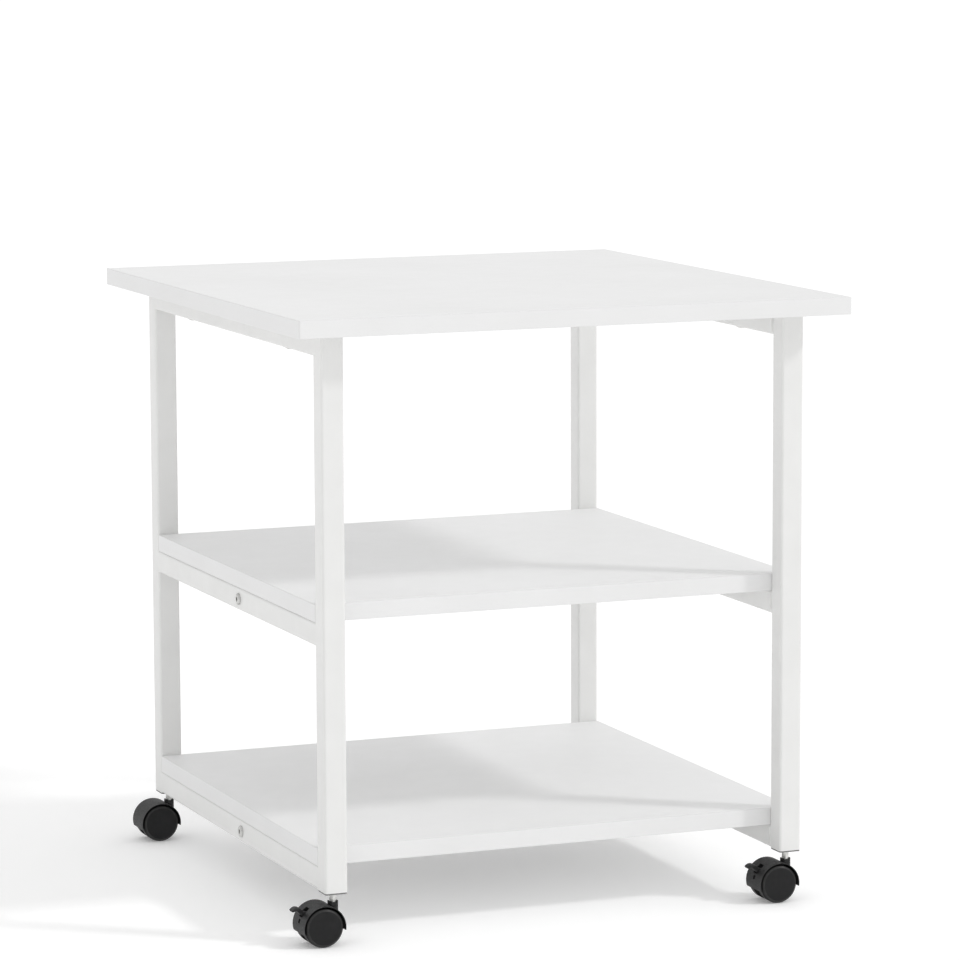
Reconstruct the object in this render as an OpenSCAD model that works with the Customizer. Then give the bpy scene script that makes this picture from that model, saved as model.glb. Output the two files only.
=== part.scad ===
// Mobile printer stand: a tabletop and two shelves on a welded tube frame with four casters.
// Origin: on the floor, under the centre of the tabletop.
// +X is to the right, +Y to the back, +Z up. All sizes are in millimetres.

/* [Boards] */
// Width of the tabletop, left to right
top_w = 500; // [440:5:600]
// Depth of the tabletop, front to back
top_d = 530; // [460:5:600]
// Height of the tabletop's upper face above the floor
top_h = 530; // [480:1:640]
// Thickness of the tabletop and of both shelves
board_t = 15; // [12:1:18]
// Thickness of the banding round each board
band_t = 1; // [0.5:0.1:2]

/* [Frame] */
// Outer size of the square tube
tube = 20; // [20:1:24]
// Wall thickness of the square tube
tube_wall = 1.2; // [1:0.1:1.6]
// Outer corner radius of the square tube
tube_r = 2.2; // [1.7:0.1:2.5]
// Overhang of the tabletop past the frame, on the left and the right
side_overhang = 30; // [15:1:40]
// Overhang of the tabletop past the frame, at the front and the back
end_overhang = 32; // [15:1:40]
// Height of the lower end of each post above the floor
post_z = 45; // [44:0.5:50]
// Height of the upper face of the middle side rails
mid_rail_top = 272; // [220:1:320]
// Crossbars and their bolts: distance in front of the stand's centre
crossbar_front = 16; // [0:1:60]

/* [Fasteners] */
// Head diameter of the button-head crossbar bolts
bolt_head_d = 10.5; // [9.5:0.1:11]
// Height of those heads
bolt_head_h = 2.4; // [2.2:0.1:3.3]
// Thread diameter of the crossbar bolts and of the caster stems
thread_d = 6; // [5:0.5:6]
// Head diameter of the wood screws
screw_head_d = 11; // [9:0.5:12]
// Height of the wood screws' heads
screw_head_h = 2.8; // [2:0.1:3]
// Shank diameter of the wood screws
screw_d = 4.9; // [4:0.1:5]
// Tabletop screws: distance from the stand's centre, to the front and the back
top_screw_y = 130; // [60:5:160]
// Shelf screws: distance from the stand's centre, to the left and the right
shelf_screw_x = 130; // [60:5:160]

/* [Casters] */
// Radius of the wheels
wheel_r = 17; // [16.8:0.1:17.2]
// Width of one wheel
wheel_w = 9.7; // [9:0.1:11]
// Distance from the stem's axis back to the wheels' axle
trail = 12; // [11.8:0.1:12.4]
// Width of the block between the two wheels
block_w = 9.4; // [9.4:0.1:10]
// Wall thickness of the hood
hood_t = 1.2; // [1:0.1:1.5]
// Height of the top of the stem boss above the floor
boss_top = 36.8; // [36:0.1:37]
// Diameter of the axle
axle_d = 4; // [3:0.5:5]

/* [Brake] */
// Width of the lever's arm inside the block
arm_w = 6; // [5.4:0.1:6.2]
// Width of the lever's pedal outside the hood
pedal_w = 9.4; // [8:0.1:12]

/* [Hidden] */
// Frame, worked out from the boards
frame_x = top_w/2 - side_overhang;      // outer face of the side frames
frame_y = top_d/2 - end_overhang;       // front face of the front posts
post_x = frame_x - tube/2;              // post centres
post_y = frame_y - tube/2;
top_under = top_h - board_t;            // underside of the tabletop
rail_len = 2*(frame_y - tube);          // rails run between the posts
low_rail_top = post_z + tube;
crossbar_len = 2*(frame_x - tube);
crossbar_y = -crossbar_front;
shelf_w = 2*frame_x;
shelf_d = rail_len;

// Fits
running = 0.05;                         // radial clearance of a shaft in its bore
drill = 0.3;                            // radial clearance of a drilled hole
side_gap = 0.3;                         // wheel to block, and wheel face to hood edge
hood_gap = 0.4;                         // tread to hood

// Inserts and nuts in the tube ends
plug_w = tube - 2*tube_wall - 0.3;
plug_h = 14;
plug_r = 0.8;
plate_w = tube - 0.4;
plate_t = 1.2;
nut_len = 10;

// Crossbar bolts
bolt_rim = 0.5;                         // height of the head's straight edge
socket_af = 4;                          // hexagon socket, across its flats
socket_depth = 1.5;

// Wood screws
screw_rim = 0.8;
screw_bite = 10;                        // depth of the thread in a board
screw_tip = 2;                          // length of the pointed end
screw_point_r = 0.4;
recess_len = 5;                         // cross recess in the head
recess_w = 1.1;
recess_depth = 1.6;

// Stem of a caster
stem_low = 19.4;
stem_top = post_z + plug_h - 1;
stem_r = thread_d/2 - running;
stem_chamfer = 0.6;
clip_z = 23;
clip_t = 0.8;
clip_r = 3.6;
clip_mouth = 1.6;                       // open gap of the snap ring
groove_h = clip_t + 0.2;
neck_r = 2.3;                           // bottom of the clip's groove

// Caster, measured from the middle of the axle
hood_in = wheel_r + hood_gap;
hood_out = hood_in + hood_t;
hood_front = -8.5;                      // angles of the hood's two lower edges
hood_back = 197;
half_block = block_w/2;
half_hood = half_block + side_gap + wheel_w + side_gap;
block_low = -4;                         // lower edge of the block
axle_boss_r = 6;
boss_r = 4.5;
collar_r = 3.9;
boss_notch_w = 5.4;
boss_notch_h = 4;
collar_drop = 0.8;                      // collar below the top of the two prongs

// Wheel section
hub_r = 5;
rim_in = 14.8;
face_t = 2.2;
bore_floor = 1.4;
tread_edge = 0.6;
shoulder = 0.7;
bevel_r = 2.8;
bevel_t = 2;

// Axle
axle_len = 2*(half_block + side_gap + wheel_w - bore_floor - 0.6);

// Brake lever pressed down, as points [back, up] from the middle of the axle
lever_pivot = [-6, 9];
lever_knee = [-15.5, 11.2];
pedal_root = [-18.4, 14];
pedal_crown = [-20.6, 15.9];
pedal_tip = [-24.2, 14.7];
shoe = [2.2, 13.5];
link_inset = 0.05;
lever_hub_r = 2.6;
arm_r = 2;
shoe_arm_r = 1.1;
shoe_r = 0.9;
shoe_len = 16;
pedal_r = 1.85;
pin_r = 1;
pocket_w = arm_w + 1.6;
pocket_r = wheel_r - 0.6;
pocket = [[-17, 6.4], [-17, 17], [4.8, 17], [4.8, 9.8], [-2.5, 5.9]];
slot = [[-20, 8.3], [-8, 15.6]];        // lever's way out through the hood
window = [[0.9, 10.3], [4.4, 14.9]];    // shoe's way through the block's two sides
drain = [[-20, 2.9], [-16, 6.6]];       // small moulding window under the lever
drain_w = 3.4;

$fn = 48;
wheel_fn = 96;

CORNERS = ["front_left", "front_right", "rear_left", "rear_right"];
SIDES = ["left", "right"];
LEVELS = ["top", "middle", "bottom"];
CASTER_PIECES = ["insert", "stem", "housing", "axle", "front_wheel", "rear_wheel"];
BRAKE_PIECES = ["brake_lever", "lever_pin"];

// Height of the upper face of a side rail, by its level: 0 top, 1 middle, 2 bottom
function rail_top(level) = [top_under, mid_rail_top, low_rail_top][level];
// Middle of a corner's post, from the centre of the stand
function corner_x(i) = i % 2 == 0 ? -post_x : post_x;
function corner_y(i) = i < 2 ? -post_y : post_y;

// ---------- shared shapes ----------

module rounded_square(size, r) {
    square([size - 2*r, size], center = true);
    square([size, size - 2*r], center = true);
    for (x = [-1, 1], y = [-1, 1])
        translate([x*(size/2 - r), y*(size/2 - r)])
            circle(r);
}

module tube_section() {
    difference() {
        rounded_square(tube, tube_r);
        rounded_square(tube - 2*tube_wall, tube_r - tube_wall);
    }
}

// Screw head standing on z = 0: a straight rim under a dome
module domed_head(r, h, rim) {
    rise = h - rim;
    dome_r = (r*r + rise*rise)/(2*rise);
    intersection() {
        cylinder(r = r, h = h);
        translate([0, 0, h - dome_r])
            sphere(dome_r);
    }
}

// Solid cylinder along X, centred
module rod_x(r, h) {
    rotate([0, 90, 0])
        cylinder(r = r, h = h, center = true);
}

// Side view [x, z] made h thick along Y, centred
module plate_y(h) {
    rotate([90, 0, 0])
        linear_extrude(h, center = true)
            children();
}

// Upright rectangle of a side view, between its lower left and upper right corners
module panel(corners) {
    translate(corners[0])
        square(corners[1] - corners[0]);
}

// Bar between two points of a side view, with round ends a little wider than its shank
module link(a, b, r) {
    d = b - a;
    for (p = [a, b])
        translate(p)
            circle(r);
    translate((a + b)/2)
        rotate(atan2(d[1], d[0]))
            square([norm(d), 2*(r - link_inset)], center = true);
}

// Sector of a ring between two angles of a side view, under 270 degrees
module ring_sector(r_in, r_out, from, to) {
    reach = 3*r_out;
    mid = (from + to)/2;
    difference() {
        circle(r_out, $fn = wheel_fn);
        circle(r_in, $fn = wheel_fn);
        polygon([
            [0, 0],
            reach*[cos(to), sin(to)],
            reach*[cos(mid + 180), sin(mid + 180)],
            reach*[cos(from), sin(from)]
        ]);
    }
}

// ---------- boards ----------

module board_core(w, d, z) {
    translate([0, 0, z + board_t/2])
        cube([w - 2*band_t, d - 2*band_t, board_t], center = true);
}

module edge_band(w, d, z) {
    color("white")
        translate([0, 0, z])
            linear_extrude(board_t)
                difference() {
                    square([w, d], center = true);
                    square([w - 2*band_t, d - 2*band_t], center = true);
                }
}

// Blind pilot hole for a wood screw, up from the point p
module pilot(p) {
    translate([p[0], p[1], p[2] - 1])
        cylinder(r = screw_d/2 + running, h = screw_bite + screw_tip + 2);
}

module tabletop() {
    color("whitesmoke")
        difference() {
            board_core(top_w, top_d, top_under);
            for (x = [-post_x, post_x], y = [-top_screw_y, top_screw_y])
                pilot([x, y, top_under]);
        }
}

module shelf(z) {
    color("whitesmoke")
        difference() {
            board_core(shelf_w, shelf_d, z);
            for (x = [-shelf_screw_x, shelf_screw_x])
                pilot([x, crossbar_y, z]);
        }
}

// ---------- welded frame ----------

module post(i) {
    color("white")
        translate([corner_x(i), corner_y(i), post_z])
            linear_extrude(top_under - post_z)
                tube_section();
}

// Side rail between two posts, drilled for its screws or its bolt
module side_rail(side, level) {
    x = side == 0 ? -post_x : post_x;
    z = rail_top(level) - tube/2;
    color("white")
        difference() {
            translate([x, 0, z])
                rotate([90, 0, 0])
                    linear_extrude(rail_len, center = true)
                        tube_section();
            if (level == 0) {
                for (y = [-top_screw_y, top_screw_y])
                    translate([x, y, z])
                        cylinder(r = screw_d/2 + drill, h = tube + 2, center = true);
            } else {
                translate([x, crossbar_y, z])
                    rod_x(thread_d/2 + drill, tube + 2);
            }
        }
}

module crossbar(level) {
    z = rail_top(level) - tube/2;
    color("white")
        difference() {
            translate([0, crossbar_y, z])
                rotate([0, 90, 0])
                    linear_extrude(crossbar_len, center = true)
                        tube_section();
            for (x = [-shelf_screw_x, shelf_screw_x])
                translate([x, crossbar_y, z])
                    cylinder(r = screw_d/2 + drill, h = tube + 2, center = true);
        }
}

// ---------- fasteners ----------

// Threaded plug in each end of both crossbars
module crossbar_nuts() {
    color("silver")
        for (level = [1, 2], x = [-1, 1])
            translate([x*(crossbar_len - nut_len)/2, crossbar_y, rail_top(level) - tube/2])
                rotate([0, 90, 0])
                    difference() {
                        linear_extrude(nut_len, center = true)
                            rounded_square(plug_w, plug_r);
                        cylinder(r = thread_d/2, h = nut_len + 1, center = true);
                    }
}

// Button head on +Z with its shank below, the head's seat at z = 0
module button_bolt(shank) {
    difference() {
        union() {
            domed_head(bolt_head_d/2, bolt_head_h, bolt_rim);
            translate([0, 0, -shank])
                cylinder(r = thread_d/2 - running, h = shank + 0.1);
        }
        translate([0, 0, bolt_head_h - socket_depth])
            cylinder(r = socket_af/sqrt(3), h = socket_depth + 1, $fn = 6);
    }
}

module crossbar_bolts() {
    color("silver")
        for (level = [1, 2], x = [-1, 1])
            translate([x*frame_x, crossbar_y, rail_top(level) - tube/2])
                rotate([0, 90*x, 0])
                    button_bolt(tube + nut_len - 1);
}

// Pan-head wood screw standing on its head, the head's seat at z = 0
module wood_screw(shank) {
    difference() {
        union() {
            mirror([0, 0, 1])
                domed_head(screw_head_d/2, screw_head_h, screw_rim);
            translate([0, 0, -0.1])
                cylinder(r = screw_d/2, h = shank + 0.1);
            translate([0, 0, shank])
                cylinder(r1 = screw_d/2, r2 = screw_point_r, h = screw_tip);
        }
        for (a = [0, 90])
            translate([0, 0, -screw_head_h])
                rotate(a)
                    cube([recess_len, recess_w, 2*recess_depth], center = true);
    }
}

module tabletop_screws() {
    color("silver")
        for (x = [-post_x, post_x], y = [-top_screw_y, top_screw_y])
            translate([x, y, top_under - tube])
                wood_screw(tube + screw_bite);
}

module shelf_screws() {
    color("silver")
        for (level = [1, 2], x = [-shelf_screw_x, shelf_screw_x])
            translate([x, crossbar_y, rail_top(level) - tube])
                wood_screw(tube + screw_bite);
}

// Plate under a post, with the threaded plug that fills the end of the tube
module insert(i) {
    color("darkgray")
        translate([corner_x(i), corner_y(i), 0])
            difference() {
                union() {
                    translate([0, 0, post_z - plate_t])
                        linear_extrude(plate_t)
                            rounded_square(plate_w, tube_r);
                    translate([0, 0, post_z - 0.1])
                        linear_extrude(plug_h + 0.1)
                            rounded_square(plug_w, plug_r);
                }
                translate([0, 0, post_z - plate_t - 1])
                    cylinder(r = thread_d/2, h = plug_h + plate_t + 2);
            }
}

// ---------- casters ----------

// Places children at a caster: x = 0 at the axle's middle, which trails behind the stem
module at_axle(i) {
    translate([corner_x(i) - trail, corner_y(i), wheel_r])
        children();
}

module stem(i) {
    color("silver")
        translate([corner_x(i), corner_y(i), 0])
            rotate_extrude()
                polygon([
                    [0, stem_low], [stem_r - stem_chamfer, stem_low],
                    [stem_r, stem_low + stem_chamfer], [stem_r, clip_z],
                    [neck_r, clip_z], [neck_r, clip_z + groove_h],
                    [stem_r, clip_z + groove_h], [stem_r, stem_top], [0, stem_top]
                ]);
}

// Open snap rings in the grooves of the four stems
module stem_clips() {
    color("dimgray")
        for (i = [0:3])
            translate([corner_x(i), corner_y(i), clip_z + 0.1])
                linear_extrude(clip_t)
                    difference() {
                        circle(clip_r);
                        circle(neck_r + running);
                        translate([-clip_r, 0])
                            square([2*clip_r, clip_mouth], center = true);
                    }
}

module hood_section() {
    ring_sector(hood_in, hood_out, hood_front, hood_back);
}

// Block between the wheels: a half disc under the hood, with a round boss for the axle
module block_section() {
    intersection() {
        circle(hood_in + 0.2, $fn = wheel_fn);
        translate([-2*hood_out, block_low])
            square([4*hood_out, 2*hood_out]);
    }
    circle(axle_boss_r);
}

module stem_boss() {
    h = boss_top - wheel_r;
    translate([trail, 0, 0])
        difference() {
            cylinder(r = boss_r, h = h);
            translate([0, 0, h])
                cube([boss_notch_w, 3*boss_r, 2*collar_drop], center = true);
            for (y = [-1, 1])
                translate([0, y*(collar_r + boss_r), h])
                    cube([boss_notch_w, 2*boss_r, 2*boss_notch_h], center = true);
        }
}

module stem_bore() {
    translate([trail, 0, stem_low - wheel_r - 0.5]) {
        cylinder(r = thread_d/2, h = boss_top);
        translate([0, 0, clip_z - stem_low])
            cylinder(r = clip_r + 0.3, h = clip_t + 1.2);
    }
}

// Room for the brake lever inside the block, and its way out through the hood
module lever_pocket() {
    plate_y(pocket_w) {
        intersection() {
            circle(pocket_r);
            polygon(pocket);
        }
        panel(slot);
    }
    plate_y(block_w + 2) {
        panel(window);
        translate(lever_pivot)
            circle(pin_r);
    }
    plate_y(drain_w)
        panel(drain);
}

module housing(i) {
    color([0.2, 0.2, 0.2])
        at_axle(i)
            difference() {
                union() {
                    plate_y(2*half_hood) hood_section();
                    plate_y(block_w) block_section();
                    stem_boss();
                }
                rotate([90, 0, 0])
                    cylinder(r = axle_d/2, h = block_w + 2, center = true);
                stem_bore();
                if (i < 2) lever_pocket();
            }
}

module axle(i) {
    color("silver")
        at_axle(i)
            rotate([90, 0, 0])
                cylinder(r = axle_d/2, h = axle_len, center = true);
}

// Wheel cup, open towards the block, with a blind bore in its hub
module wheel_section() {
    bore = axle_d/2 + running;
    w = wheel_w;
    polygon([
        [bore, 0], [hub_r, 0], [hub_r, w - face_t], [rim_in, w - face_t], [rim_in, 0],
        [wheel_r - tread_edge, 0], [wheel_r, tread_edge], [wheel_r, w - bevel_t],
        [wheel_r - shoulder, w - shoulder], [wheel_r - bevel_r, w], [0, w], [0, w - bore_floor],
        [bore, w - bore_floor]
    ]);
}

// side -1 is the front wheel of the pair, +1 the rear one
module wheel(i, side) {
    color([0.16, 0.16, 0.16])
        at_axle(i)
            rotate([-90*side, 0, 0])
                translate([0, 0, half_block + side_gap])
                    rotate_extrude($fn = wheel_fn)
                        wheel_section();
}

module lever_arm_section() {
    translate(lever_pivot)
        circle(lever_hub_r);
    link(lever_pivot, lever_knee, arm_r);
    link(lever_knee, pedal_root, arm_r);
    link(lever_pivot, shoe, shoe_arm_r);
}

module pedal_section() {
    link(pedal_root, pedal_crown, pedal_r);
    link(pedal_crown, pedal_tip, pedal_r);
}

module brake_lever(i) {
    color([0.18, 0.18, 0.18])
        at_axle(i)
            difference() {
                union() {
                    plate_y(arm_w) lever_arm_section();
                    plate_y(pedal_w) pedal_section();
                    plate_y(shoe_len) translate(shoe) circle(shoe_r);
                }
                plate_y(pedal_w + 2) translate(lever_pivot) circle(pin_r + running);
            }
}

module lever_pin(i) {
    color("silver")
        at_axle(i)
            plate_y(block_w)
                translate(lever_pivot)
                    circle(pin_r);
}

// ---------- the stand ----------

tabletop();
shelf(mid_rail_top);  // middle_shelf
shelf(low_rail_top);  // bottom_shelf
edge_band(top_w, top_d, top_under);  // tabletop_edge_band
edge_band(shelf_w, shelf_d, mid_rail_top);  // middle_shelf_edge_band
edge_band(shelf_w, shelf_d, low_rail_top);  // bottom_shelf_edge_band
crossbar(1);  // middle_crossbar
crossbar(2);  // bottom_crossbar
crossbar_nuts();
crossbar_bolts();
tabletop_screws();
shelf_screws();
stem_clips();

for (s = [0, 1], l = [0:2])
    side_rail(s, l);

for (i = [0:3]) {
    post(i);
    insert(i);
    stem(i);
    housing(i);
    axle(i);
    wheel(i, -1);
    wheel(i, 1);
}

for (i = [0, 1]) {
    brake_lever(i);
    lever_pin(i);
}
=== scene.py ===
import math

import bmesh
import bpy
from mathutils import Euler, Matrix, Vector


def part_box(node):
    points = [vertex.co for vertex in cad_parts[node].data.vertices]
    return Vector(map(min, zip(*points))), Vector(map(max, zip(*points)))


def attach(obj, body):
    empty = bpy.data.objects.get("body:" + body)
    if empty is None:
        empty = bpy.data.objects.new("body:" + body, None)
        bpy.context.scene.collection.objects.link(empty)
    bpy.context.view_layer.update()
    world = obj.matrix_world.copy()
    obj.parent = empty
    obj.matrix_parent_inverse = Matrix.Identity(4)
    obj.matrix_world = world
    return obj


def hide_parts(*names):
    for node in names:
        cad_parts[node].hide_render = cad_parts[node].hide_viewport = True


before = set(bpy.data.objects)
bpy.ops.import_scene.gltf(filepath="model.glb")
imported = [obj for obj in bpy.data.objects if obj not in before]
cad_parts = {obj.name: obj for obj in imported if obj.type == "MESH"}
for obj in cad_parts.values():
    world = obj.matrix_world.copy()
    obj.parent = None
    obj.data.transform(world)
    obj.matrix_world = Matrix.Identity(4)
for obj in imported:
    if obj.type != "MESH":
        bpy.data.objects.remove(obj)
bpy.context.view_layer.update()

MM = 0.001

# Camera: where the eye is, where it looks, and its lens on a 36 mm sensor
EYE = (-1.4445, -3.6403, 0.8920)
LOOK_TURN = -21.83
LOOK_DOWN = 7.84
LOOK_ROLL = -0.22
LENS = 166.2

# Square tube of the frame
TUBE_RADIUS = 2.2 * MM
TUBE_WALL = 1.2 * MM
CORNER_STEPS = 8

# Edge banding
BAND = 1.0 * MM
BAND_CORNER = 1.5 * MM
BAND_EDGE = 0.5 * MM

# Casters: bore and hub of a wheel, and how wide the painted highlight on its shoulder and the painted shade
# on its tread are
WHEEL_BORE = 2.05 * MM
WHEEL_HUB = 5.0 * MM
WHEEL_RIM_IN = 14.8 * MM
WHEEL_FACE = 2.2 * MM
BORE_FLOOR = 1.4 * MM
SHOULDER_HIGHLIGHT_START = 14.2 * MM
TREAD_SHADE_START = 15.9 * MM

# Caster hoods: the two rims are thinned from the inside, and every edge is softened
HOOD_RIM_IN = 17.4 * MM
HOOD_RIM_THINNED = 18.15 * MM
HOOD_SOFTENING = 0.16 * MM

# Brake levers: each station of the pedal is (back, up, width, thickness) in millimetres from the axle
PEDAL_STATIONS = (
    (-9.5, 9.8, 5.8, 3.9), (-12.5, 10.5, 5.9, 4.0), (-15.2, 11.3, 6.0, 4.2),
    (-17.0, 12.7, 6.5, 4.3), (-18.7, 14.5, 8.0, 4.1), (-20.5, 15.8, 9.2, 3.7),
    (-22.4, 15.6, 9.4, 3.1), (-24.2, 14.7, 9.4, 2.2), (-25.5, 13.9, 9.0, 1.3),
)
PEDAL_SIDES = 28
ARM_END = 13.5 * MM

# Crossbar bolts: M6 button heads
SHANK_RADIUS = 2.95 * MM
SHANK_LENGTH = 29.0 * MM
SOCKET_HALF = 2.0 * MM
SOCKET_DEPTH = 2.1 * MM
HEAD_RIM = 0.5 * MM
HEAD_CROWN = 0.62
BOLT_STEPS = 96

# Weld beads
BEAD_LEG = 1.3 * MM
BEAD_SINK = 0.3 * MM

# Light and floor
SURROUND = 0.83
SUN = 0.86
SUN_ANGLE = 7
SUN_TOWARD = (1.35, -1.0, 1.33)
FLOOR_GLOW = 0.14
FLOOR_HALF = 60.0
FLOOR_DROP = 0.05 * MM

CORNERS = ("front_left", "front_right", "rear_left", "rear_right")
FRONT = CORNERS[:2]
SIDES = ("left", "right")
LEVELS = ("top", "middle", "bottom")
BOARDS = ("tabletop", "middle_shelf", "bottom_shelf")
REVOLVE_STEPS = 128
SHARP = math.radians(32)


# ---------- materials ----------

def shader(name, color, roughness, metallic=0.0, specular=0.5):
    """A new material with one Principled shader. Returns the material, its nodes and the shader."""
    made = bpy.data.materials.new(name)
    made.use_nodes = True
    tree = made.node_tree
    surface = tree.nodes["Principled BSDF"]
    surface.inputs["Base Color"].default_value = (*color, 1.0)
    surface.inputs["Roughness"].default_value = roughness
    surface.inputs["Metallic"].default_value = metallic
    surface.inputs["Specular IOR Level"].default_value = specular
    return made, tree, surface


def place(tree, scale=(1.0, 1.0, 1.0)):
    """Object coordinates, stretched by scale."""
    where = tree.nodes.new("ShaderNodeTexCoord")
    stretch = tree.nodes.new("ShaderNodeMapping")
    stretch.inputs["Scale"].default_value = scale
    tree.links.new(where.outputs["Object"], stretch.inputs["Vector"])
    return stretch.outputs["Vector"]


def noise(tree, scale, detail=2.0, stretch=(1.0, 1.0, 1.0)):
    """Noise of the given scale per metre, from 0 to 1."""
    made = tree.nodes.new("ShaderNodeTexNoise")
    made.inputs["Scale"].default_value = scale
    made.inputs["Detail"].default_value = detail
    tree.links.new(place(tree, stretch), made.inputs["Vector"])
    return made.outputs["Fac"]


def spread(tree, value, low, high, start=0.3, end=0.7):
    """value between start and end, mapped to low and high."""
    made = tree.nodes.new("ShaderNodeMapRange")
    made.inputs["From Min"].default_value = start
    made.inputs["From Max"].default_value = end
    made.inputs["To Min"].default_value = low
    made.inputs["To Max"].default_value = high
    tree.links.new(value, made.inputs["Value"])
    return made.outputs["Result"]


def tint(tree, value, dark, light, start=0.3, end=0.7):
    """A colour between dark and light as value goes from start to end."""
    ramp = tree.nodes.new("ShaderNodeValToRGB")
    ramp.color_ramp.elements[0].position = start
    ramp.color_ramp.elements[0].color = (*dark, 1.0)
    ramp.color_ramp.elements[1].position = end
    ramp.color_ramp.elements[1].color = (*light, 1.0)
    tree.links.new(value, ramp.inputs["Fac"])
    return ramp.outputs["Color"]


def mix(tree, share, first, second):
    """The first colour, with a share of the second over it."""
    made = tree.nodes.new("ShaderNodeMix")
    made.data_type = "RGBA"
    tree.links.new(share, made.inputs["Factor"])
    tree.links.new(first, made.inputs["A"])
    tree.links.new(second, made.inputs["B"])
    return made.outputs["Result"]


def relief(tree, surface, height, depth, strength=1.0, under=None):
    """Bump of the given depth in metres, on top of another bump if there is one."""
    made = tree.nodes.new("ShaderNodeBump")
    made.inputs["Strength"].default_value = strength
    made.inputs["Distance"].default_value = depth
    tree.links.new(height, made.inputs["Height"])
    if under is not None:
        tree.links.new(under, made.inputs["Normal"])
    tree.links.new(made.outputs["Normal"], surface.inputs["Normal"])
    return made.outputs["Normal"]


def melamine():
    """White laminate with a fine pearl texture and a faint cloudiness."""
    made, tree, surface = shader("white_melamine", (0.85, 0.85, 0.85), 0.42)
    cloud = noise(tree, 7.0, 3.0)
    color = tint(tree, cloud, (0.837, 0.837, 0.835), (0.867, 0.867, 0.867))
    tree.links.new(color, surface.inputs["Base Color"])
    tree.links.new(spread(tree, noise(tree, 60.0, 4.0), 0.36, 0.50), surface.inputs["Roughness"])
    pearl = relief(tree, surface, noise(tree, 650.0, 2.0), 0.05 * MM, 0.5)
    relief(tree, surface, noise(tree, 2600.0, 2.0), 0.015 * MM, 0.5, pearl)
    return made


def banding():
    """White edge band, with the fine lines of its extrusion along it."""
    made, tree, surface = shader("white_edge_band", (0.78, 0.78, 0.78), 0.36)
    color = tint(tree, noise(tree, 15.0, 2.0), (0.765, 0.765, 0.763), (0.79, 0.79, 0.79))
    tree.links.new(color, surface.inputs["Base Color"])
    lines = noise(tree, 40.0, 3.0, stretch=(0.4, 0.4, 60.0))
    tree.links.new(spread(tree, lines, 0.32, 0.44), surface.inputs["Roughness"])
    drawn = relief(tree, surface, lines, 0.02 * MM, 0.4)
    relief(tree, surface, noise(tree, 1500.0, 2.0), 0.01 * MM, 0.4, drawn)
    return made


def powder_coat():
    """White powder coat: orange peel, satin, a little warmer than the boards."""
    made, tree, surface = shader("white_powder_coat", (0.765, 0.765, 0.755), 0.38)
    surface.inputs["Coat Weight"].default_value = 0.15
    surface.inputs["Coat Roughness"].default_value = 0.22
    color = tint(tree, noise(tree, 25.0, 3.0), (0.750, 0.750, 0.740), (0.780, 0.780, 0.770))
    tree.links.new(color, surface.inputs["Base Color"])
    tree.links.new(spread(tree, noise(tree, 90.0, 2.0), 0.33, 0.45), surface.inputs["Roughness"])
    peel = relief(tree, surface, noise(tree, 520.0, 1.0), 0.06 * MM, 0.55)
    relief(tree, surface, noise(tree, 2200.0, 2.0), 0.012 * MM, 0.5, peel)
    return made


def zinc():
    """Bright zinc plate over turned steel: fine rings and a slightly patchy tone."""
    made, tree, surface = shader("zinc_steel", (0.62, 0.62, 0.60), 0.30, metallic=1.0)
    color = tint(tree, noise(tree, 260.0, 4.0), (0.50, 0.50, 0.49), (0.74, 0.74, 0.72))
    tree.links.new(color, surface.inputs["Base Color"])
    tree.links.new(spread(tree, noise(tree, 900.0, 3.0), 0.22, 0.42), surface.inputs["Roughness"])
    turned = relief(tree, surface, noise(tree, 60.0, 2.0, stretch=(1.0, 1.0, 60.0)), 0.01 * MM, 0.4)
    relief(tree, surface, noise(tree, 3500.0, 2.0), 0.006 * MM, 0.5, turned)
    return made


def spring_steel():
    """Blackened spring steel."""
    made, tree, surface = shader("blackened_steel", (0.12, 0.12, 0.125), 0.45, metallic=1.0)
    color = tint(tree, noise(tree, 500.0, 3.0), (0.08, 0.08, 0.085), (0.16, 0.16, 0.165))
    tree.links.new(color, surface.inputs["Base Color"])
    relief(tree, surface, noise(tree, 3000.0, 2.0), 0.008 * MM, 0.5)
    return made


def grey_insert():
    """Moulded grey insert in the foot of each post."""
    made, tree, surface = shader("grey_insert", (0.16, 0.16, 0.16), 0.62)
    color = tint(tree, noise(tree, 300.0, 3.0), (0.13, 0.13, 0.13), (0.19, 0.19, 0.188))
    tree.links.new(color, surface.inputs["Base Color"])
    tree.links.new(spread(tree, noise(tree, 700.0, 2.0), 0.55, 0.72), surface.inputs["Roughness"])
    relief(tree, surface, noise(tree, 1800.0, 3.0), 0.03 * MM, 0.6)
    return made


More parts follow.
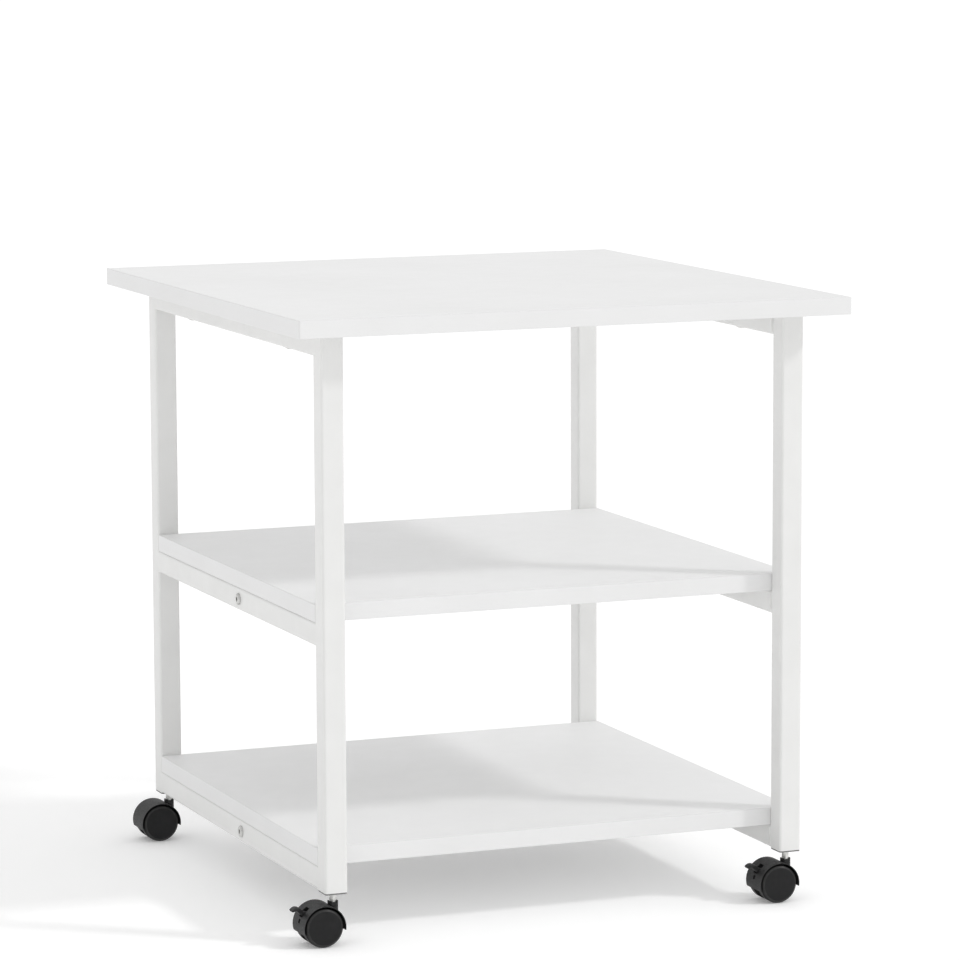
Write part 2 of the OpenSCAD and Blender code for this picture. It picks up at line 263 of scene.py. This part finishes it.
def nylon():
    """Black moulded nylon with a spark-eroded texture, and painted shade darkening it on its edges."""
    made, tree, surface = shader("black_nylon", (0.018, 0.018, 0.0185), 0.50, specular=0.32)
    body = tint(tree, noise(tree, 220.0, 3.0), (0.014, 0.014, 0.0145), (0.022, 0.022, 0.0225))
    rounded = tree.nodes.new("ShaderNodeBevel")
    rounded.samples = 6
    rounded.inputs["Radius"].default_value = 0.5 * MM
    plain = tree.nodes.new("ShaderNodeNewGeometry")
    dot = tree.nodes.new("ShaderNodeVectorMath")
    dot.operation = "DOT_PRODUCT"
    tree.links.new(rounded.outputs["Normal"], dot.inputs[0])
    tree.links.new(plain.outputs["Normal"], dot.inputs[1])
    # painted shade: edges found by the bevel normal get the near-black colour set below
    edge = spread(tree, dot.outputs["Value"], 1.0, 0.0, 0.86, 0.985)
    painted_edge_tone = tint(tree, noise(tree, 600.0, 2.0), (0.002, 0.002, 0.002), (0.010, 0.010, 0.010))
    tree.links.new(mix(tree, edge, body, painted_edge_tone), surface.inputs["Base Color"])
    tree.links.new(spread(tree, noise(tree, 800.0, 3.0), 0.42, 0.60), surface.inputs["Roughness"])
    spark = relief(tree, surface, noise(tree, 1600.0, 3.0), 0.035 * MM, 0.55)
    relief(tree, surface, noise(tree, 5200.0, 2.0), 0.010 * MM, 0.5, spark)
    return made


def wheel_nylon():
    """Smoother black nylon: a plain face, a paler shoulder round it that is a painted highlight, and a
    tread darkened with painted shade.
    """
    made, tree, surface = shader("black_wheel", (0.010, 0.010, 0.0105), 0.42, specular=0.22)
    where = tree.nodes.new("ShaderNodeTexCoord")
    flat = tree.nodes.new("ShaderNodeVectorMath")
    flat.operation = "MULTIPLY"
    flat.inputs[1].default_value = (1.0, 0.0, 1.0)
    tree.links.new(where.outputs["Object"], flat.inputs[0])
    reach = tree.nodes.new("ShaderNodeVectorMath")
    reach.operation = "LENGTH"
    tree.links.new(flat.outputs["Vector"], reach.inputs[0])
    radius = reach.outputs["Value"]
    # painted highlight on the shoulder ring and painted shade on the tread, placed by radius from the axle
    shoulder = spread(tree, radius, 0.0, 1.0, SHOULDER_HIGHLIGHT_START, SHOULDER_HIGHLIGHT_START + 0.5 * MM)
    tread = spread(tree, radius, 0.0, 1.0, TREAD_SHADE_START, TREAD_SHADE_START + 0.4 * MM)
    body = tint(tree, noise(tree, 180.0, 3.0), (0.0085, 0.0085, 0.009), (0.0115, 0.0115, 0.012))
    # painted highlight in the paler shoulder colour, then painted shade in the near-black tread colour
    painted_edge_tone = tint(tree, noise(tree, 420.0, 4.0), (0.026, 0.026, 0.026), (0.040, 0.040, 0.039))
    dark = tint(tree, noise(tree, 700.0, 4.0), (0.0015, 0.0015, 0.0015), (0.008, 0.008, 0.008), 0.35, 0.85)
    face = mix(tree, shoulder, body, painted_edge_tone)
    tree.links.new(mix(tree, tread, face, dark), surface.inputs["Base Color"])
    tree.links.new(spread(tree, noise(tree, 500.0, 4.0), 0.36, 0.52), surface.inputs["Roughness"])
    skin = relief(tree, surface, noise(tree, 1100.0, 2.0), 0.015 * MM, 0.4)
    relief(tree, surface, noise(tree, 4500.0, 3.0), 0.008 * MM, 0.5, skin)
    return made


def floor_paint():
    """A pale floor that glows a little, as a light table does."""
    made, _, surface = shader("pale_floor", (0.95, 0.95, 0.95), 0.9, specular=0.0)
    surface.inputs["Emission Color"].default_value = (1.0, 1.0, 1.0, 1.0)
    surface.inputs["Emission Strength"].default_value = FLOOR_GLOW
    return made


BOARD = melamine()
BANDING = banding()
COAT = powder_coat()
ZINC = zinc()
SPRING = spring_steel()
INSERT = grey_insert()
NYLON = nylon()
WHEEL = wheel_nylon()


# ---------- mesh helpers ----------

def piece(name, bm, body, finish, slot_name, *nodes, at=None):
    """Makes an object from a bmesh, gives it a finish, lets it ride, and stands it for CAD nodes."""
    bmesh.ops.recalc_face_normals(bm, faces=bm.faces)
    data = bpy.data.meshes.new(name)
    bm.to_mesh(data)
    bm.free()
    if at is not None:
        data.transform(Matrix.Translation(-at))
    data.materials.append(finish)
    data.shade_smooth()
    data.set_sharp_from_angle(angle=SHARP)
    made = bpy.data.objects.new(name, data)
    bpy.context.scene.collection.objects.link(made)
    if at is not None:
        made.location = at
    even = made.modifiers.new("even_normals", "WEIGHTED_NORMAL")
    even.keep_sharp = True
    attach(made, body)
    if nodes:
        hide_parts(*nodes)
    return made


def bridge(bm, rings, closed=True):
    """Quads between rings of vertices, which all have the same number, and back to the first ring."""
    pairs = list(zip(rings, rings[1:]))
    if closed:
        pairs.append((rings[-1], rings[0]))
    for one, two in pairs:
        count = len(one)
        for i in range(count):
            j = (i + 1) % count
            bm.faces.new((one[i], one[j], two[j], two[i]))


def rounded_rectangle(half_x, half_y, radius, steps=CORNER_STEPS):
    """Points round a rectangle with round corners, counterclockwise, centred on 0."""
    points = []
    for quarter in range(4):
        sx, sy = ((1, 1), (-1, 1), (-1, -1), (1, -1))[quarter]
        for k in range(steps + 1):
            a = math.pi / 2 * (quarter + k / steps)
            x = sx * (half_x - radius) + radius * math.cos(a)
            y = sy * (half_y - radius) + radius * math.sin(a)
            points.append((x, y))
    return points


def fillet(points, steps=5):
    """A path of (x, y, radius) points with each corner rounded by its radius. Returns (x, y) points."""
    made = []
    count = len(points)
    for i, (x, y, radius) in enumerate(points):
        here = Vector((x, y))
        before = Vector(points[i - 1][:2]) - here
        after = Vector(points[(i + 1) % count][:2]) - here
        if radius <= 0:
            made.append((x, y))
            continue
        before.normalize()
        after.normalize()
        half = before.angle(after) / 2
        reach = radius / math.tan(half)
        middle = here + (before + after).normalized() * (radius / math.sin(half))
        start = here + before * reach - middle
        end = here + after * reach - middle
        turn = start.angle_signed(end)
        for k in range(steps + 1):
            spoke = start.copy()
            spoke.rotate(Matrix.Rotation(-turn * k / steps, 2))
            made.append(tuple(middle + spoke))
    return made


def revolve(bm, outline, matrix, steps=REVOLVE_STEPS):
    """Turns an outline of (radius, height) about Z, then moves it by the matrix. Radius 0 closes it."""
    rings = []
    for radius, height in outline:
        if radius < 1e-7:
            rings.append([bm.verts.new(matrix @ Vector((0, 0, height)))])
            continue
        ring = []
        for k in range(steps):
            a = 2 * math.pi * k / steps
            ring.append(bm.verts.new(matrix @ Vector((radius * math.cos(a), radius * math.sin(a), height))))
        rings.append(ring)
    pairs = list(zip(rings, rings[1:]))
    if len(rings[0]) > 1:
        pairs.append((rings[-1], rings[0]))
    for one, two in pairs:
        if len(one) == len(two) == 1:
            continue
        for k in range(steps):
            m = (k + 1) % steps
            corners = [one[k % len(one)], one[m % len(one)], two[m % len(two)], two[k % len(two)]]
            unique = list(dict.fromkeys(corners))
            bm.faces.new(unique)


def welded(node):
    """A bmesh of a CAD node, with its points joined and its flat faces whole."""
    bm = bmesh.new()
    bm.from_mesh(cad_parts[node].data)
    bmesh.ops.remove_doubles(bm, verts=bm.verts, dist=0.002 * MM)
    bmesh.ops.dissolve_limit(
        bm, angle_limit=math.radians(1), verts=bm.verts, edges=bm.edges, delimit={"NORMAL"}
    )
    return bm


def softened(bm, width, segments=2):
    """Rounds the sharp edges of a bmesh by width."""
    sharp = [e for e in bm.edges if len(e.link_faces) == 2 and e.calc_face_angle() > SHARP]
    bmesh.ops.bevel(
        bm, geom=sharp, offset=width, offset_type="OFFSET", segments=segments,
        profile=0.5, affect="EDGES", clamp_overlap=True,
    )
    return bm


def keep_node(node, finish):
    """Gives a CAD node that keeps its own shape its material."""
    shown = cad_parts[node]
    shown.data.materials.clear()
    shown.data.materials.append(finish)


# ---------- boards ----------

def edge_band(board):
    """Band round a board, with its outer corners and edges softly rounded."""
    node = board + "_edge_band"
    lo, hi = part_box(node)
    middle = (lo + hi) / 2
    half = (hi - lo) / 2
    height = hi.z - lo.z
    seam = 0.12 * MM
    section = [(BAND, seam), (BAND - seam, 0.0)]
    for k in range(7):
        a = math.pi / 2 * k / 6
        section.append((BAND_EDGE * (1 - math.sin(a)), BAND_EDGE * (1 - math.cos(a))))
    section += [(inset, height - up) for inset, up in reversed(section)]
    bm = bmesh.new()
    rings = []
    for inset, up in section:
        radius = BAND_CORNER * (1 - inset / BAND) + 0.02 * MM
        outline = rounded_rectangle(half.x - inset, half.y - inset, radius)
        rings.append([bm.verts.new((middle.x + x, middle.y + y, lo.z + up)) for x, y in outline])
    bridge(bm, rings)
    piece(board + "_band", bm, "stand", BANDING, "white_edge_band", node)


def board_core(board):
    """Laminated board inside its band."""
    piece(board + "_panel", welded(board), "stand", BOARD, "white_board", board)


# ---------- welded frame ----------

def square_tube(name, node, axis, extra=0.0):
    """Hollow tube with round corners in a CAD node's box, longer by extra at both ends."""
    lo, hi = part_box(node)
    middle = (lo + hi) / 2
    half = (hi - lo) / 2
    across = half.x if axis != "X" else half.y
    length = getattr(half, axis.lower()) + extra
    turn = {
        "X": Matrix.Rotation(math.pi / 2, 4, "Y"),
        "Y": Matrix.Rotation(math.pi / 2, 4, "X"),
        "Z": Matrix.Identity(4),
    }[axis]
    matrix = Matrix.Translation(middle) @ turn
    bm = bmesh.new()
    rings = []
    for inset, ends in ((0.0, (-length, length)), (TUBE_WALL, (length, -length))):
        outline = rounded_rectangle(across - inset, across - inset, TUBE_RADIUS - inset)
        for z in ends:
            rings.append([bm.verts.new(matrix @ Vector((x, y, z))) for x, y in outline])
    bridge(bm, rings)
    piece(name, bm, "stand", COAT, "white_powder_coat", node)


def weld_fillets():
    """Ground weld beads in the inner corners between the rails and the posts."""
    bm = bmesh.new()
    for side in SIDES:
        for level in LEVELS:
            lo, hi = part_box(f"{side}_{level}_rail")
            inner = hi.x if side == "left" else lo.x
            inward = 1 if side == "left" else -1
            for y, along in ((lo.y, 1), (hi.y, -1)):
                left_end = (lo.x + TUBE_RADIUS, y, lo.z)
                right_end = (hi.x - TUBE_RADIUS, y, lo.z)
                bead(bm, left_end, right_end, (0, along, 0), (0, 0, -1))
                low_end = (inner, y, lo.z + TUBE_RADIUS)
                high_end = (inner, y, hi.z - TUBE_RADIUS)
                bead(bm, low_end, high_end, (0, along, 0), (inward, 0, 0))
    piece("weld_beads", bm, "stand", COAT, "white_powder_coat")


def bead(bm, start, end, along_rail, along_post):
    """A concave bead from start to end, with gentle ripples, tapering at both ends."""
    start = Vector(start)
    end = Vector(end)
    first = Vector(along_rail)
    second = Vector(along_post)
    steps = 18
    curve = 6
    rings = []
    for k in range(steps + 1):
        t = k / steps
        taper = 0.25 + 0.75 * math.sin(math.pi * t) ** 0.35
        ripple = 1 + 0.06 * math.sin(5 * math.pi * t * 3)
        size = BEAD_LEG * taper * ripple
        centre = start.lerp(end, t)
        ring = [bm.verts.new(centre - first * BEAD_SINK - second * BEAD_SINK)]
        for m in range(curve + 1):
            a = math.pi / 2 * m / curve
            point = centre + first * size * (1 - math.sin(a)) + second * size * (1 - math.cos(a))
            ring.append(bm.verts.new(point))
        rings.append(ring)
    bridge(bm, rings, closed=False)
    bm.faces.new(list(reversed(rings[0])))
    bm.faces.new(rings[-1])


# ---------- fasteners ----------

def crossbar_bolts():
    """Button heads with hexagon sockets on the outer faces of the rails, and their shanks."""
    lo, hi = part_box("crossbar_bolts")
    heads = []
    for level in LEVELS[1:]:
        for side, sign in zip(SIDES, (-1, 1)):
            rail_lo, rail_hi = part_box(f"{side}_{level}_rail")
            seat = rail_lo.x if sign < 0 else rail_hi.x
            heads.append((sign, Vector((seat, (lo.y + hi.y) / 2, (rail_lo.z + rail_hi.z) / 2))))
    head_r = (hi.y - lo.y) / 2
    head_h = hi.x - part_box("right_middle_rail")[1].x
    bm = bmesh.new()
    for sign, seat in heads:
        turn = Matrix.Rotation(sign * math.pi / 2, 4, "Y")
        button_bolt(bm, Matrix.Translation(seat) @ turn, head_r, head_h)
    piece("crossbar_bolts_shown", bm, "stand", ZINC, "zinc_steel", "crossbar_bolts")


def button_bolt(bm, matrix, head_r, head_h):
    """One bolt standing on z = 0, its head up: a dome round a hexagon socket that narrows to its floor."""
    socket_floor = head_h - SOCKET_DEPTH
    top_r = head_r * HEAD_CROWN

    def hexagon(a):
        sixth = math.pi / 3
        return SOCKET_HALF / math.cos((a + sixth / 2) % sixth - sixth / 2)

    def ring(radius_at, height):
        made = []
        for k in range(BOLT_STEPS):
            a = 2 * math.pi * k / BOLT_STEPS
            r = radius_at(a)
            made.append(bm.verts.new(matrix @ Vector((r * math.cos(a), r * math.sin(a), height))))
        return made

    def plain(radius):
        return lambda a: radius

    def between(share, outer):
        return lambda a: hexagon(a) * (1 - share) + outer * share

    rings = [
        ring(plain(SHANK_RADIUS * 0.8), -SHANK_LENGTH),
        ring(plain(SHANK_RADIUS), -SHANK_LENGTH + 0.6 * MM),
        ring(plain(SHANK_RADIUS), -0.3 * MM),
        ring(plain(SHANK_RADIUS + 0.3 * MM), 0.0),
        ring(plain(head_r - 0.15 * MM), 0.0),
        ring(plain(head_r), 0.15 * MM),
        ring(plain(head_r), HEAD_RIM),
    ]
    for k in range(1, 9):
        a = math.pi / 2 * k / 9
        r = top_r + (head_r - top_r) * math.cos(a)
        rings.append(ring(plain(r), HEAD_RIM + (head_h - HEAD_RIM) * math.sin(a)))
    rings.append(ring(plain(top_r * 0.95), head_h))
    rings.append(ring(between(0.12, top_r), head_h))
    rings.append(ring(between(0.03, top_r), head_h - 0.15 * MM))
    rings.append(ring(between(0.0, top_r), head_h - 0.35 * MM))
    rings.append(ring(between(0.0, top_r), socket_floor + 0.1 * MM))
    rings.append(ring(lambda a: hexagon(a) * 0.93, socket_floor))
    bridge(bm, rings, closed=False)
    floor = bm.verts.new(matrix @ Vector((0, 0, socket_floor - 0.3 * MM)))
    tip = bm.verts.new(matrix @ Vector((0, 0, -SHANK_LENGTH)))
    for k in range(BOLT_STEPS):
        m = (k + 1) % BOLT_STEPS
        bm.faces.new((rings[-1][k], rings[-1][m], floor))
        bm.faces.new((rings[0][m], rings[0][k], tip))


def stem(corner):
    """Bright stem of a caster, with the groove of its clip and a chamfered foot."""
    node = corner + "_stem"
    lo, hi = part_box(node)
    clip_lo, clip_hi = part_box("stem_clips")
    r = (hi.x - lo.x) / 2
    neck = 2.3 * MM
    groove_low = clip_lo.z - 0.1 * MM
    groove_high = clip_hi.z + 0.1 * MM
    outline = fillet([
        (0.0, lo.z, 0.0), (r - 0.6 * MM, lo.z, 0.15 * MM), (r, lo.z + 0.6 * MM, 0.15 * MM),
        (r, groove_low, 0.08 * MM), (neck, groove_low, 0.0), (neck, groove_high, 0.0),
        (r, groove_high, 0.08 * MM), (r, hi.z - 0.4 * MM, 0.1 * MM),
        (r - 0.4 * MM, hi.z, 0.1 * MM), (0.0, hi.z, 0.0),
    ])
    bm = bmesh.new()
    centre = Vector(((lo.x + hi.x) / 2, (lo.y + hi.y) / 2, 0))
    revolve(bm, outline, Matrix.Translation(centre), 64)
    piece(node + "_pin", bm, "stand", ZINC, "zinc_steel", node)


# ---------- casters ----------

def axle_centre(corner):
    """Middle of a caster's axle."""
    lo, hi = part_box(corner + "_axle")
    return (lo + hi) / 2


def wheel(corner, place_in_pair):
    """One wheel of a pair: a cup open to the block, with a flat face and a rounded shoulder."""
    node = f"{corner}_{place_in_pair}_wheel"
    lo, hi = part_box(node)
    centre = (lo + hi) / 2
    toward = -1 if place_in_pair == "front" else 1
    r = (hi.x - lo.x) / 2
    w = hi.y - lo.y
    inner = lo.y if toward > 0 else hi.y
    web = w - WHEEL_FACE
    blind = w - BORE_FLOOR
    outline = fillet([
        (WHEEL_BORE, 0.0, 0.15 * MM), (WHEEL_HUB, 0.0, 0.3 * MM), (WHEEL_HUB, web, 0.6 * MM),
        (WHEEL_RIM_IN, web, 0.8 * MM), (WHEEL_RIM_IN, 0.0, 0.2 * MM), (r, 0.0, 0.6 * MM),
        (r, w - 3.2 * MM, 1.6 * MM), (r - 0.9 * MM, w - 1.2 * MM, 0.6 * MM),
        (r - 2.6 * MM, w, 0.8 * MM), (0.0, w, 0.0),
        (0.0, blind, 0.0), (WHEEL_BORE, blind, 0.0),
    ], 7)
    turn = Matrix.Rotation(-toward * math.pi / 2, 4, "X")
    bm = bmesh.new()
    revolve(bm, outline, Matrix.Translation((centre.x, inner, centre.z)) @ turn)
    piece(node + "_shown", bm, node, WHEEL, "black_wheel", node, at=centre)


def housing(corner):
    """Hood, block and boss of a caster, its edges softened and its two rims thinned from inside."""
    node = corner + "_housing"
    lo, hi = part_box(node)
    axle = axle_centre(corner)
    bm = welded(node)
    for v in bm.verts:
        spoke = Vector((v.co.x - axle.x, v.co.z - axle.z))
        on_rim = min(v.co.y - lo.y, hi.y - v.co.y) < 0.1 * MM
        if on_rim and abs(spoke.length - HOOD_RIM_IN) < 0.1 * MM:
            spoke *= HOOD_RIM_THINNED / HOOD_RIM_IN
            v.co.x = axle.x + spoke.x
            v.co.z = axle.z + spoke.y
    softened(bm, HOOD_SOFTENING)
    piece(corner + "_hood", bm, corner + "_caster", NYLON, "black_nylon", node)


def pedal_ring(bm, centre, up, width, thickness):
    """Vertices round the pedal at one station: a rounded box, across the caster."""
    ring = []
    for k in range(PEDAL_SIDES):
        a = 2 * math.pi * k / PEDAL_SIDES
        c = math.cos(a)
        s = math.sin(a)
        across = width / 2 * math.copysign(abs(c) ** 0.45, c)
        high = thickness / 2 * math.copysign(abs(s) ** 0.6, s)
        ring.append(bm.verts.new(centre + Vector((0, across, 0)) + up * high))
    return ring


def pedal(corner):
    """Thumb pedal: a loft that widens past the hood, crowns and droops to a thin tip."""
    axle = axle_centre(corner)
    centres = [axle + Vector((back * MM, 0, up * MM)) for back, up, _, _ in PEDAL_STATIONS]
    last = len(centres) - 1
    bm = bmesh.new()
    rings = []
    for i, (_, _, width, thickness) in enumerate(PEDAL_STATIONS):
        ahead = centres[min(i + 1, last)] - centres[max(i - 1, 0)]
        up = Vector((-ahead.z, 0, ahead.x)).normalized()
        if up.z < 0:
            up.negate()
        rings.append(pedal_ring(bm, centres[i], up, width * MM, thickness * MM))
    bridge(bm, rings, closed=False)
    bm.faces.new(rings[0])
    bm.faces.new(rings[-1])
    body = corner + "_brake"
    made = piece(corner + "_pedal", bm, body, NYLON, "black_nylon", corner + "_brake_lever")
    smooth = made.modifiers.new("smooth", "SUBSURF")
    smooth.levels = 2
    smooth.render_levels = 2
    made.modifiers.move(1, 0)


def lever_arm(corner):
    """The part of a brake lever inside the hood, cut off where the pedal takes over."""
    bm = welded(corner + "_brake_lever")
    bmesh.ops.bisect_plane(
        bm, geom=bm.verts[:] + bm.edges[:] + bm.faces[:], dist=1e-6,
        plane_co=axle_centre(corner) + Vector((-ARM_END, 0, 0)), plane_no=(-1, 0, 0), clear_outer=True,
    )
    bmesh.ops.holes_fill(bm, edges=bm.edges, sides=0)
    piece(corner + "_lever_arm", bm, corner + "_brake", NYLON, "black_nylon")


# ---------- camera, light and floor ----------

def camera():
    """A long lens at the front left, looking a little down on the stand."""
    data = bpy.data.cameras.new("camera")
    data.sensor_width = 36.0
    data.lens = LENS
    data.clip_end = 200.0
    eye = bpy.data.objects.new("camera", data)
    bpy.context.scene.collection.objects.link(eye)
    aim = Euler((math.radians(90 - LOOK_DOWN), 0, math.radians(LOOK_TURN))).to_matrix().to_4x4()
    eye.matrix_world = Matrix.Translation(EYE) @ aim @ Matrix.Rotation(math.radians(LOOK_ROLL), 4, "Z")
    bpy.context.scene.camera = eye


def light():
    """An even white surround and one soft sun from the front right."""
    world = bpy.data.worlds.new("studio")
    world.use_nodes = True
    backdrop = world.node_tree.nodes["Background"]
    backdrop.inputs["Color"].default_value = (1.0, 1.0, 1.0, 1.0)
    backdrop.inputs["Strength"].default_value = SURROUND
    bpy.context.scene.world = world
    sun = bpy.data.lights.new("key", "SUN")
    sun.energy = SUN
    sun.angle = math.radians(SUN_ANGLE)
    lamp = bpy.data.objects.new("key", sun)
    bpy.context.scene.collection.objects.link(lamp)
    lamp.rotation_euler = Vector(SUN_TOWARD).to_track_quat("Z", "Y").to_euler()


def floor():
    """A plain pale floor, wide enough to fill the view."""
    bm = bmesh.new()
    bmesh.ops.create_grid(bm, x_segments=8, y_segments=8, size=FLOOR_HALF)
    data = bpy.data.meshes.new("floor")
    bm.to_mesh(data)
    bm.free()
    data.materials.append(floor_paint())
    made = bpy.data.objects.new("floor", data)
    made.location.z = -FLOOR_DROP
    bpy.context.scene.collection.objects.link(made)


# ---------- the stand ----------

camera()
light()
floor()
bpy.context.scene.view_settings.view_transform = "Standard"

for name in BOARDS:
    board_core(name)
    edge_band(name)
for corner in CORNERS:
    square_tube(corner + "_leg", corner + "_post", "Z")
for side in SIDES:
    for level in LEVELS:
        square_tube(f"{side}_{level}_bar", f"{side}_{level}_rail", "Y", TUBE_RADIUS)
for level in LEVELS[1:]:
    square_tube(level + "_cross_tube", level + "_crossbar", "X")
weld_fillets()
crossbar_bolts()
for node in ("crossbar_nuts", "tabletop_screws", "shelf_screws"):
    keep_node(node, ZINC)
keep_node("stem_clips", SPRING)

for corner in CORNERS:
    foot = softened(welded(corner + "_insert"), 0.12 * MM)
    piece(corner + "_foot_plate", foot, "stand", INSERT, "grey_insert", corner + "_insert")
    stem(corner)
    housing(corner)
    keep_node(corner + "_axle", ZINC)
    wheel(corner, "front")
    wheel(corner, "rear")
for corner in FRONT:
    pedal(corner)
    lever_arm(corner)
    keep_node(corner + "_lever_pin", ZINC)
